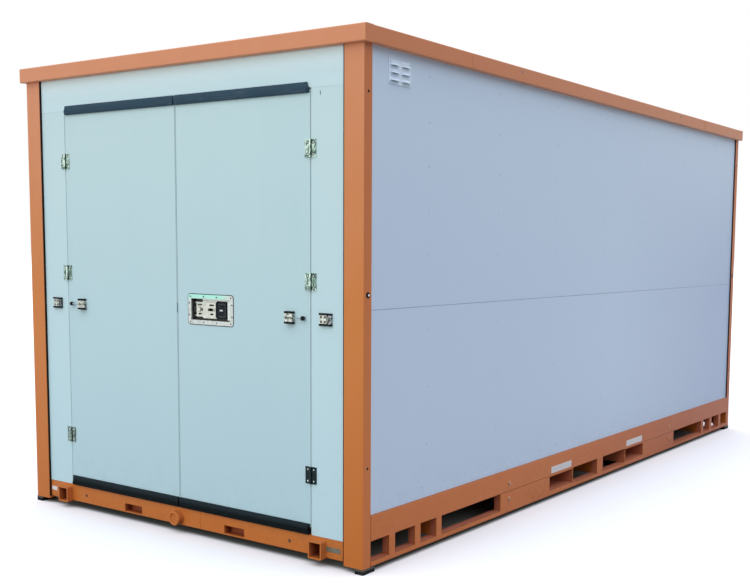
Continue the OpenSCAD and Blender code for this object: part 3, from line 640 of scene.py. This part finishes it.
class Shape:
    # gathers the points and faces of one piece
    def __init__(self):
        self.points = []
        self.faces = []

    def loft(self, rings, caps=True):
        count = len(rings[0])
        start = len(self.points)
        for ring in rings:
            self.points += [Vector(p) for p in ring]
        for r in range(len(rings) - 1):
            a = start + r * count
            for i in range(count):
                j = (i + 1) % count
                self.faces.append((a + i, a + j, a + count + j, a + count + i))
        if caps:
            self.faces.append(tuple(start + i for i in reversed(range(count))))
            self.faces.append(tuple(start + (len(rings) - 1) * count + i for i in range(count)))

    def lathe(self, at, axis, profile, steps, star=None):
        axis = Vector(axis).normalized()
        spoke = spokes(axis)
        rings = []
        for k, (r, h) in enumerate(profile):
            ring = []
            for i in range(steps):
                a = 2 * math.pi * i / steps
                grow = star(a) if star and k >= len(profile) - 2 else 1.0
                ring.append(Vector(at) + axis * h + spoke(a) * r * grow)
            rings.append(ring)
        self.loft(rings)

    def block(self, corner, opposite, cut):
        # box with cut edges, from any two opposite corners
        lo = Vector([min(pair) for pair in zip(corner, opposite)])
        hi = Vector([max(pair) for pair in zip(corner, opposite)])

        def ring(z, inset):
            x0, y0 = lo.x + inset, lo.y + inset
            x1, y1 = hi.x - inset, hi.y - inset
            return [(x0 + cut, y0, z), (x1 - cut, y0, z), (x1, y0 + cut, z), (x1, y1 - cut, z),
                    (x1 - cut, y1, z), (x0 + cut, y1, z), (x0, y1 - cut, z), (x0, y0 + cut, z)]

        self.loft([ring(lo.z, cut), ring(lo.z + cut, 0), ring(hi.z - cut, 0), ring(hi.z, cut)])

    def screw(self, at, axis, r, h):
        # pan head with a cross recess
        def cross(a):
            return 1.0 if abs(math.sin(2 * a)) < 0.5 else 0.45
        profile = [(r, -0.001), (r, 0.25 * h), (0.92 * r, 0.6 * h), (0.72 * r, 0.9 * h), (0.6 * r, h),
                   (0.52 * r, h), (0.4 * r, 0.45 * h)]
        self.lathe(at, axis, profile, 16, cross)

    def hexBolt(self, at, axis, r, h):
        # hexagon head on its washer
        washer = [(1.45 * r, -0.001), (1.45 * r, 0.16 * h), (1.35 * r, 0.22 * h), (1.0 * r, 0.22 * h)]
        self.lathe(at, axis, washer, 18)
        self.lathe(at, axis, [(r, 0.0), (r, 0.86 * h), (0.86 * r, h), (0.55 * r, h)], 6)

    def bead(self, start, end, r, step=0.006):
        # weld bead with the ripple of its passes
        start = Vector(start)
        end = Vector(end)
        run = end - start
        spoke = spokes(run.normalized())
        count = max(3, int(run.length / step))
        rings = []
        for k in range(count + 1):
            swell = r * (0.8 + 0.2 * (k % 2) + dice.uniform(-0.08, 0.08))
            if k in (0, count):
                swell *= 0.45
            at = start + run * (k / count)
            rings.append([at + spoke(i * math.pi / 4) * swell for i in range(8)])
        self.loft(rings)

    def piece(self, name, finish, body="container", smooth=35):
        mesh = bpy.data.meshes.new(name)
        mesh.from_pydata([tuple(p) for p in self.points], [], self.faces)
        mesh.validate()
        mesh.materials.append(finishes[finish])
        mesh.polygons.foreach_set("use_smooth", [True] * len(mesh.polygons))
        mesh.set_sharp_from_angle(angle=math.radians(smooth))
        made = addObject(name, mesh)
        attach(made, body)
        return made


def roundRect(x0, x1, z0, z1, r, y, steps=6):
    ring = []
    for cx, cz, turn in ((x1 - r, z1 - r, 0), (x0 + r, z1 - r, 1), (x0 + r, z0 + r, 2), (x1 - r, z0 + r, 3)):
        for k in range(steps + 1):
            a = math.pi / 2 * (turn + k / steps)
            ring.append((cx + r * math.cos(a), y, cz + r * math.sin(a)))
    return ring


front = (0, -1, 0)
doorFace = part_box("left_door")[0].y
postLow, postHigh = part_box("corner_post_front_right")
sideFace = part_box("side_panel_right_lower")[1].x
rimLow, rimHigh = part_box("roof_rim_right")
corners = [(sign, end) for sign in (-1, 1) for end in (-1, 1)]
weldSmooth = 60
print("shapes ready")


# black door strips: a lip that bulges at mid height, waves slightly and hangs on a fixing bar with an end nub
strip = {
    "step": 0.014, "wave": 0.0016, "waves": ((9, 0.5, 0), (23, 0.3, 2), (61, 0.2, -3)), "levels": 9,
    "belly": 1.6, "hollow": 0.0032, "curl": 0.0012, "lip": 0.006, "clear": 0.004, "inset": 0.008,
    "bar": 0.016, "barOut": 0.008, "nub": 0.018, "nubOut": (0.002, 0.011), "nubRise": (0.002, 0.009),
    "cut": 0.0015, "smooth": 50,
}


def makeStrip(s, ends, z0, z1, outer):
    count = int((ends[1] - ends[0]) / strip["step"])
    phases = [dice.uniform(0, 6.28) for _ in range(4)]
    rings = []
    for k in range(count + 1):
        x = ends[0] + (ends[1] - ends[0]) * k / count
        outside = []
        inside = []
        for i in range(strip["levels"]):
            t = i / (strip["levels"] - 1)
            belly = 1 - abs(2 * t - 1) ** strip["belly"]
            roll = 0
            for (turns, share, lean), phase in zip(strip["waves"], phases):
                roll += math.sin(turns * x + phase + lean * t) * share
            out = outer - strip["hollow"] * (1 - belly) - strip["wave"] * (0.5 + 0.5 * roll)
            if i in (0, strip["levels"] - 1):
                out -= strip["curl"]
            z = z0 + (z1 - z0) * t
            outside.append((x, doorFace - out, z))
            inside.append((x, doorFace - max(out - strip["lip"], strip["clear"]), z))
        rings.append(outside + inside[::-1])
    s.loft(rings)


def makeStrips(side):
    lo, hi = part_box(side + "_door_seals")
    leafLow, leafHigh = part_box(side + "_door")
    hingeEnd, meetEnd = (lo.x, hi.x) if side == "left" else (hi.x, lo.x)
    inset = math.copysign(strip["inset"], meetEnd - hingeEnd)
    headLow = leafHigh.z - strip["bar"]
    s = Shape()
    for z0, z1, bar, rise in ((lo.z, leafLow.z + strip["bar"], leafLow.z, strip["nubRise"][0]),
                              (headLow, hi.z, headLow, strip["nubRise"][1])):
        makeStrip(s, sorted((hingeEnd + inset, meetEnd)), z0, z1, doorFace - lo.y)
        s.block((hingeEnd, doorFace - strip["barOut"], bar), (meetEnd, doorFace + bury, bar + strip["bar"]),
                strip["cut"])
        near, far = strip["nubOut"]
        s.block((hingeEnd - inset / 8, doorFace - far, z0 + rise),
                (hingeEnd + 1.5 * inset, doorFace - near, z0 + rise + strip["nub"]), strip["cut"])
    made = s.piece(side + "_door_strips", "seal", side + "_door", smooth=strip["smooth"])
    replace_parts(made, side + "_door_seals")


# spring plungers: steel rod with a turned collar and a black ball knob
plunger = {
    "knobR": 0.011, "rodR": 0.003, "tip": 0.002, "collar": (-0.004, -0.003, 0.002), "arc": (0.1, 0.88),
    "arcSteps": 14,
}


def makePlunger(side):
    lo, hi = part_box(side + "_plunger")
    near, far = (hi.x, lo.x) if side == "left" else (lo.x, hi.x)
    at = (near, (lo.y + hi.y) / 2, (lo.z + hi.z) / 2)
    axis = (far - near, 0, 0)
    r = plunger["rodR"]
    knob = plunger["knobR"]
    centre = abs(far - near) - knob
    collar = [centre - knob + off for off in plunger["collar"]]
    rod = Shape()
    rod.lathe(at, axis, [(0.6 * r, 0.0), (r, plunger["tip"]), (r, collar[0]), (1.5 * r, collar[1]),
                         (1.5 * r, collar[2]), (r, centre - 0.5 * knob)], 20)
    rod.piece(side + "_plunger_rod", "rod", side + "_plunger")
    profile = [(0.3 * knob, centre - 0.9 * knob)]
    for k in range(plunger["arcSteps"] + 1):
        a = math.pi * (plunger["arc"][0] + plunger["arc"][1] * k / plunger["arcSteps"])
        profile.append((knob * math.sin(a), centre - knob * math.cos(a)))
    ball = Shape()
    ball.lathe(at, axis, profile, 24)
    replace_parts(ball.piece(side + "_knob", "black", side + "_plunger"), side + "_plunger")


# hinge screws: two on each leaf
hingeScrew = {"screw": (0.004, 0.0018), "proud": 0.004}


def makeHingeScrews():
    leafFace = doorFace - hingeScrew["proud"]
    jamb = Shape()
    for side, sign in (("left", -1), ("right", 1)):
        leaf = Shape()
        x = sign * hinge["axis"]
        off = sign * hinge["off"]
        for level in hinge["levels"]:
            for z in (level - hinge["rise"], level + hinge["rise"]):
                jamb.screw((x + off, leafFace, z), front, *hingeScrew["screw"])
                leaf.screw((x - off, leafFace, z), front, *hingeScrew["screw"])
        leaf.piece(side + "_hinge_screws", "zinc", side + "_door")
    jamb.piece("jamb_hinge_screws", "zinc")


# latch: a dark rim round the flange as a painted shadow, liner strips, flange screws, blank window on the
# grip, plate rivets
def makeLatchFittings():
    lo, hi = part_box("latch_tray")
    mid = (lo + hi) / 2
    coverLow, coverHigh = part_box("latch_cover")
    gripLow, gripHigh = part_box("latch_grip")
    # a dark rim round the flange standing in for its shadow on the door
    gasket = Shape()
    rings = []
    for grow, out in ((0, 0), (latch["gasket"], 0), (latch["gasket"], latch["thin"]), (0, latch["thin"])):
        rings.append(roundRect(lo.x - grow, hi.x + grow, lo.z - grow, hi.z + grow, latch["corner"] + grow,
                               doorFace - out))
    gasket.loft(rings + rings[:1], False)
    gasket.piece("latch_flange_shadow", "gasket", "right_door")
    liner = Shape()
    beside, after, under, below = latch["linerGaps"]
    right = hi.x - latch["border"]
    top = hi.z - latch["border"]
    y0 = lo.y + latch["linerIn"]
    y1 = y0 + latch["linerT"]
    liner.block((coverLow.x + beside, y0, coverHigh.z + beside), (right, y1, top), latch["cut"])
    bottom = lo.z + latch["border"] + under
    liner.block((gripHigh.x + after, y0, bottom), (right, y1, top - below), latch["cut"])
    liner.piece("latch_liner", "liner", "right_door")
    screws = Shape()
    for xs, zs in ((latch["xs"], latch["zs"]), (latch["xSides"], latch["zSides"])):
        for x in xs:
            for z in zs:
                screws.screw((x, lo.y, mid.z + z), front, *latch["screw"])
    screws.piece("latch_tray_screws", "dark", "right_door")
    x = (gripLow.x + gripHigh.x) / 2
    face = gripLow.y + latch["windowIn"]
    across, rise = latch["window"]
    window = Shape()
    window.block((x - across, face - latch["thin"], mid.z - rise), (x + across, face + bury, mid.z + rise),
                 latch["cut"])
    window.piece("grip_window", "label", "latch")
    rivets = Shape()
    near, far, rise = latch["coverRivets"]
    places = [(x, coverFace, z) for x in (coverLow.x + near, coverHigh.x - far) for z in (-rise, rise)]
    near, back, rise = latch["slideRivets"]
    places += [(gripLow.x - latch["slide"] + near, coverFace + back, z) for z in (-rise, rise)]
    for x, y, z in places:
        rivets.lathe((x, y, mid.z + z), front, latch["dome"], 14)
    rivets.piece("slide_rivets", "zinc", "latch")


# hold-back fixings: four dark screws on each catch, a rivet in each corner of a bracket
fixing = {
    "screw": (0.0058, 0.0014), "dx": 0.0115, "dz": 0.0105, "shift": 0.004, "proud": 0.004, "inset": 0.008,
    "rise": 0.0145, "bracketIn": 0.002,
    "dome": [(0.004, -0.001), (0.004, 0.0005), (0.003, 0.0012), (0.0015, 0.0016)],
}


def makeHoldBackScrews():
    jamb = Shape()
    for start, end in ((catch["low"], lips[0][0]), (-catch["low"] - catch["wide"], lips[1][0])):
        mid = (start + end) / 2 - fixing["shift"]
        for sx, sz in corners:
            at = (mid + sx * fixing["dx"], doorFace - fixing["proud"], holdZ + sz * fixing["dz"])
            jamb.screw(at, front, *fixing["screw"])
    jamb.piece("catch_screws", "dark")
    for side in ("left", "right"):
        lo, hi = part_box(side + "_hold_back")
        rivets = Shape()
        for x in (lo.x + fixing["inset"], hi.x - fixing["inset"]):
            for dz in (-fixing["rise"], fixing["rise"]):
                rivets.lathe((x, lo.y + fixing["bracketIn"], holdZ + dz), front, fixing["dome"], 14)
        rivets.piece(side + "_bracket_rivets", "zinc", side + "_door")


# vents: a screw in each corner of the plate
ventScrew = {"inset": 0.009, "plate": 0.003, "screw": (0.0045, 0.0018)}


def makeVentScrews():
    lo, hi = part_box("vents")
    s = Shape()
    for sign in (-1, 1):
        x = sign * (sideFace + ventScrew["plate"])
        for y in (lo.y + ventScrew["inset"], hi.y - ventScrew["inset"]):
            for z in (lo.z + ventScrew["inset"], hi.z - ventScrew["inset"]):
                s.screw((x, y, z), (sign, 0, 0), *ventScrew["screw"])
    s.piece("vent_screws", "boardScrew")


# wall board screws: columns on the studs, a close row along the bottom rail, sparser columns on the rear wall
boardScrew = {
    "columns": 7, "span": 1.912, "rows": (0.527, 0.805, 1.083, 1.44, 1.65, 1.855, 2.06, 2.27),
    "bottom": 0.317, "pitch": 0.195, "halfRow": 11, "rearX": (-1.03, -0.52, 0.0, 0.52, 1.03),
    "rearLow": 0.19, "screw": (0.0044, 0.0016),
}


def makeBoardScrews():
    step = 2 * boardScrew["span"] / (boardScrew["columns"] - 1)
    places = []
    for k in range(boardScrew["columns"]):
        places += [(step * k - boardScrew["span"], z) for z in boardScrew["rows"]]
    for k in range(-boardScrew["halfRow"], boardScrew["halfRow"] + 1):
        places.append((k * boardScrew["pitch"], boardScrew["bottom"]))
    s = Shape()
    for sign in (-1, 1):
        for y, z in places:
            s.screw((sign * sideFace, y, z), (sign, 0, 0), *boardScrew["screw"])
    s.piece("side_board_screws", "boardScrew")
    rear = Shape()
    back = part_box("rear_panel_lower")[1].y
    for x in boardScrew["rearX"]:
        for z in (boardScrew["rearLow"],) + boardScrew["rows"]:
            rear.screw((x, back, z), (0, 1, 0), *boardScrew["screw"])
    rear.piece("rear_board_screws", "boardScrew")


# rail hardware: bolts on the rail plates, blank labels over the fork pockets
rail = {
    "boltY": 1.133, "boltZ": (0.188, 0.101), "bolt": (0.0105, 0.007), "labelY": (0.398, 0.652),
    "labelZ": (0.157, 0.196), "labelT": 0.0006, "cut": 0.0003,
}


def makeRailParts():
    bolts = Shape()
    labels = Shape()
    for sign, end in corners:
        for z in rail["boltZ"]:
            at = (sign * railFace, end * rail["boltY"], z)
            bolts.hexBolt(at, (sign, 0, 0), *rail["bolt"])
        (y0, y1), (z0, z1) = rail["labelY"], rail["labelZ"]
        labels.block((sign * (railFace - bury), end * y0, z0),
                     (sign * (railFace + rail["labelT"]), end * y1, z1), rail["cut"])
    bolts.piece("rail_bolts", "bolt")
    labels.piece("fork_labels", "label")


# sill: blank plate and tag, a small bolt each side, weld beads round the lift tubes, the joint and the boss
sill = {
    "plate": ((0.97, 0.072), (1.056, 0.095)), "plateT": 0.0016, "plateCut": 0.0005,
    "tag": ((-1.072, 0.076), (-1.026, 0.0985)), "tagT": 0.0008, "tagCut": 0.0003, "bolts": (-0.766, 0.742),
    "boltZ": 0.0835, "bolt": (0.006, 0.004), "tubeHalf": 0.04, "tubeZ": (0.041, 0.116),
    "tubeTop": (0.038, 0.118), "weldR": 0.0035, "joint": 0.134, "jointZ": (0.004, 0.092), "jointR": 0.002,
    "bossSteps": 24, "bossLap": 1.05, "bossR": 0.003,
}


def makeSillParts():
    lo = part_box("front_sill")[0]
    for name, key, slot, finish in (("sill_plate", "plate", "fitting_steel", "idPlate"),
                                    ("sill_tag", "tag", "vent_plastic", "label")):
        (x0, z0), (x1, z1) = sill[key]
        blank = Shape()
        blank.block((x0, lo.y - sill[key + "T"], z0), (x1, lo.y + bury, z1), sill[key + "Cut"])
        blank.piece(name, finish)
    bolts = Shape()
    for x in sill["bolts"]:
        bolts.hexBolt((x, lo.y, sill["boltZ"]), front, *sill["bolt"])
    bolts.piece("sill_bolts", "rust")
    welds = Shape()
    z0, z1 = sill["tubeZ"]
    half, top = sill["tubeTop"]
    for y in (lo.y, sillFace):
        for x in (-tube["x"], tube["x"]):
            for edge in (x - sill["tubeHalf"], x + sill["tubeHalf"]):
                welds.bead((edge, y, z0), (edge, y, z1), sill["weldR"])
            welds.bead((x - half, y, top), (x + half, y, top), sill["weldR"])
    z0, z1 = (lo.z + rise for rise in sill["jointZ"])
    welds.bead((sill["joint"], lo.y, z0), (sill["joint"], lo.y, z1), sill["jointR"])
    welds.piece("sill_welds", "frame", smooth=weldSmooth)
    ring = Shape()
    bossLow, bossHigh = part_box("tow_boss")
    mid = (bossLow + bossHigh) / 2
    r = (bossHigh.z - bossLow.z) / 2
    for k in range(sill["bossSteps"]):
        turns = [2 * math.pi * step / sill["bossSteps"] for step in (k, k + sill["bossLap"])]
        ends = [(mid.x + r * math.cos(a), lo.y, mid.z + r * math.sin(a)) for a in turns]
        ring.bead(*ends, sill["bossR"])
    ring.piece("boss_weld", "frame", smooth=weldSmooth)


# boards: sealant between header and jambs and in the wall seams, pale seals in the door gaps, a dark clip
seam = {
    "filler": (0.0006, 0.012), "clipX": 0.937, "clipZ": (2.146, 2.165), "clipHalf": 0.0012, "clipT": 0.0012,
    "clipCut": 0.0005, "sealIn": (0.0015, 0.012), "sealX": 0.0068, "meetX": 0.0057, "sealEnd": 0.002,
    "sealCut": 0.001, "bolt": 0.024, "joint": (0.0007, 0.006), "cut": 0.0003,
}


def makeBoardSeams():
    filler = Shape()
    gaps = Shape()
    fill0, fill1 = (doorFace + depth for depth in seam["filler"])
    seal0, seal1 = (doorFace + depth for depth in seam["sealIn"])
    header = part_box("header_panel")[0].z
    for side, sign in (("left", -1), ("right", 1)):
        lo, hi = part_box("jamb_" + side)
        filler.block((lo.x, fill0, hi.z - bury), (hi.x, fill1, header + bury), seam["cut"])
        edge = hi.x if sign < 0 else lo.x
        gaps.block((edge + sign * bury, seal0, lo.z + seam["sealEnd"]),
                   (edge - sign * seam["sealX"], seal1, hi.z - seam["sealEnd"]), seam["sealCut"])
    filler.piece("jamb_sealant", "filler")
    gaps.piece("jamb_gap_seals", "edgeSeal")
    meet = Shape()
    lo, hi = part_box("left_door")
    boltZ = sum(corner.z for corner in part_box("latch_tray")) / 2
    for z0, z1 in ((lo.z + seam["sealEnd"], boltZ - seam["bolt"]),
                   (boltZ + seam["bolt"], hi.z - seam["sealEnd"])):
        meet.block((hi.x - bury, seal0, z0), (hi.x + seam["meetX"], seal1, z1), seam["sealCut"])
    meet.piece("left_door_edge_seal", "edgeSeal", "left_door")
    joint = Shape()
    near, far = seam["joint"]
    low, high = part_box("side_panel_right_lower")
    z0 = high.z - bury
    z1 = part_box("side_panel_right_upper")[0].z + bury
    for sign in (-1, 1):
        joint.block((sign * (sideFace - near), low.y, z0), (sign * (sideFace - far), high.y, z1), seam["cut"])
    low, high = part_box("rear_panel_lower")
    joint.block((low.x, high.y - far, z0), (high.x, high.y - near, z1), seam["cut"])
    joint.piece("wall_seam_sealant", "joint")
    clip = Shape()
    clip.block((seam["clipX"] - seam["clipHalf"], doorFace - seam["clipT"], seam["clipZ"][0]),
               (seam["clipX"] + seam["clipHalf"], doorFace + bury, seam["clipZ"][1]), seam["clipCut"])
    clip.piece("jamb_clip", "gasket")


# posts: black gasket beside each end wall and in the rear inner corners, dark plugs, a stud on its washer
post = {
    "gasket": 0.003, "gasketY": (2.403, 2.4145), "gasketLow": 0.04, "lip": 0.001, "cut": 0.0008,
    "plugs": (2.147, 0.485), "stud": 1.263, "y": 2.385, "studSize": (0.0055, 0.0065),
    "plug": [(0.006, -0.001), (0.006, 0.0008), (0.005, 0.0014), (0.0036, 0.0014), (0.003, 0.0005)],
    "washer": [(0.0135, -0.001), (0.0135, 0.0015), (0.0125, 0.0025), (0.006, 0.0025), (0.005, 0.001)],
}


def makePostParts():
    gasket = Shape()
    top = rimLow.z - bury
    back = abs(postHigh.y)
    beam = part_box("side_beams")[1].z - bury
    for sign in (-1, 1):
        for end in (-1, 1):
            gasket.block((sign * (postLow.x + bury), end * post["gasketY"][0], post["gasketLow"]),
                         (sign * (postLow.x - post["gasket"]), end * post["gasketY"][1], top), post["cut"])
        gasket.block((sign * (sideFace - bury), back - post["gasket"], beam),
                     (sign * (postHigh.x - post["lip"]), back + bury, top), post["cut"])
    gasket.piece("post_gaskets", "gasket")
    plugs = Shape()
    washer = Shape()
    stud = Shape()
    for sign, end in corners:
        out = (sign, 0, 0)
        for z in post["plugs"]:
            plugs.lathe((sign * postHigh.x, end * post["y"], z), out, post["plug"], 18)
        at = (sign * postHigh.x, end * post["y"], post["stud"])
        washer.lathe(at, out, post["washer"], 24)
        stud.hexBolt(at, out, *post["studSize"])
    washer.piece("post_washers", "gasket")
    plugs.piece("post_plugs", "gasket")
    stud.piece("post_studs", "zinc")


# roof rim: fixing screws, welds at the butt joints, sealant between rim and sheet
rim = {
    "screwY": 1.108, "screwZ": 2.403, "screw": (0.007, 0.003), "jointY": 1.594, "jointIn": 0.006,
    "jointR": 0.0025, "sealantR": 0.004, "sealantStep": 0.02,
}


def makeRimParts():
    screws = Shape()
    joints = Shape()
    for sign, end in corners:
        x = sign * rimHigh.x
        screws.screw((x, end * rim["screwY"], rim["screwZ"]), (sign, 0, 0), *rim["screw"])
        y = end * rim["jointY"]
        joints.bead((x, y, rimLow.z + rim["jointIn"]), (x, y, rimHigh.z - rim["jointIn"]), rim["jointR"])
    screws.piece("rim_screws", "dull")
    joints.piece("rim_joint_welds", "frame", smooth=weldSmooth)
    lo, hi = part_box("roof_sheet")
    sealant = Shape()
    lines = [((lo.x, y, hi.z), (hi.x, y, hi.z)) for y in (lo.y, hi.y)]
    lines += [((x, lo.y, hi.z), (x, hi.y, hi.z)) for x in (lo.x, hi.x)]
    for line in lines:
        sealant.bead(*line, rim["sealantR"], rim["sealantStep"])
    sealant.piece("roof_sealant", "sealant", smooth=weldSmooth)


for make in (makeStrips, makePlunger):
    for side in ("left", "right"):
        make(side)
print("door strips and plungers made")
for make in (makeHingeScrews, makeLatchFittings, makeHoldBackScrews, makeVentScrews):
    make()
print("hinge, latch, hold-back and vent fittings made")
for make in (makeBoardScrews, makeRailParts, makeSillParts, makeBoardSeams, makePostParts, makeRimParts):
    make()
print("wall, rail, sill, post and rim parts made")


# camera at the photograph's place, with its shifted frame, turned by yaw, pitch and roll
camera = {
    "f": 1051.813, "centre": (452.035, 348.271), "turn": (33.807, -5.639, 0.657),
    "at": (4.0859, -6.0303, 1.4903), "size": (750, 585), "sensor": 36.0, "reach": 300,
}


def makeCamera():
    yaw, pitch, roll = map(math.radians, camera["turn"])
    ahead = Vector((-math.sin(yaw) * math.cos(pitch), math.cos(yaw) * math.cos(pitch), math.sin(pitch)))
    right = Vector((math.cos(yaw), math.sin(yaw), 0))
    up = right.cross(ahead)
    across = math.cos(roll) * right + math.sin(roll) * up
    upright = -math.sin(roll) * right + math.cos(roll) * up
    data = bpy.data.cameras.new("camera")
    data.sensor_fit = "HORIZONTAL"
    data.sensor_width = camera["sensor"]
    (wide, tall), (cx, cy) = camera["size"], camera["centre"]
    data.lens = camera["f"] / wide * camera["sensor"]
    data.shift_x = (wide / 2 - cx) / wide
    data.shift_y = (cy - tall / 2) / wide
    data.clip_end = camera["reach"]
    made = addObject("camera", data)
    turn = Matrix((across, upright, -ahead)).transposed().to_4x4()
    made.matrix_world = Matrix.Translation(camera["at"]) @ turn
    scene.camera = made


makeCamera()

# studio: pale floor with a painted shadow under the container, white seen all round, soft sky that is dim
# near the ground, one wide low key from the front
studio = {
    "floor": (0.88, 0.88, 0.88), "bounce": (0.2, 0.2, 0.2), "ground": (0.28, 0.32, 0.3), "soft": 0.04,
    "half": 90.0, "seen": (1.0, 1.0, 1.0), "zenith": (1.93, 1.99, 2.18), "horizon": (0.04, 0.043, 0.05),
    "rise": (0.16, 0.75), "key": 0.88, "keyFrom": (-0.18, -1.0, 0.16), "keyAway": 12, "keySpread": 22.0,
    "keyTint": (1.0, 0.98, 0.9),
}


def makeSky():
    scene.world = bpy.data.worlds.new("studio")
    w = Board(scene.world)
    up = w.part(w.node("TexCoord", out="Generated"), "Z")
    sky = w.mix(studio["horizon"], studio["zenith"], w.level(up, *studio["rise"]))
    soft, white = (w.node("Background", {0: colour}) for colour in (sky, studio["seen"]))
    w.showBySight(soft, white, "OutputWorld")


def makeFloor():
    skin = bpy.data.materials.new("pale_floor")
    b = Board(skin)
    spot = b.node("TexCoord", out="Object")
    # painted shadow: the floor seen by the camera is dark under the container's footprint
    under = []
    for axis, edge in (("X", railFace), ("Y", sillFace)):
        under.append(1 - b.level(abs(b.part(spot, axis)), edge - studio["soft"], edge))
    dim, pale, dark = (b.node("BsdfDiffuse", {0: studio[key]}) for key in ("bounce", "floor", "ground"))
    seen = b.node("MixShader", {0: under[0] * under[1], 1: pale, 2: dark})
    b.showBySight(dim, seen, "OutputMaterial")
    mesh = bpy.data.meshes.new("studio_floor")
    half = studio["half"]
    square = [(-half, -half, 0), (half, -half, 0), (half, half, 0), (-half, half, 0)]
    mesh.from_pydata(square, [], [(0, 1, 2, 3)])
    mesh.materials.append(skin)
    ground = addObject("studio_floor", mesh)


def makeKey():
    lamp = bpy.data.lights.new("key", "SUN")
    lamp.energy = studio["key"]
    lamp.angle = math.radians(studio["keySpread"])
    lamp.color = studio["keyTint"]
    key = addObject("key", lamp)
    way = Vector(studio["keyFrom"])
    key.location = way * studio["keyAway"]
    key.rotation_euler = way.to_track_quat("Z", "Y").to_euler()


makeSky()
makeFloor()
makeKey()
print("camera and studio made")
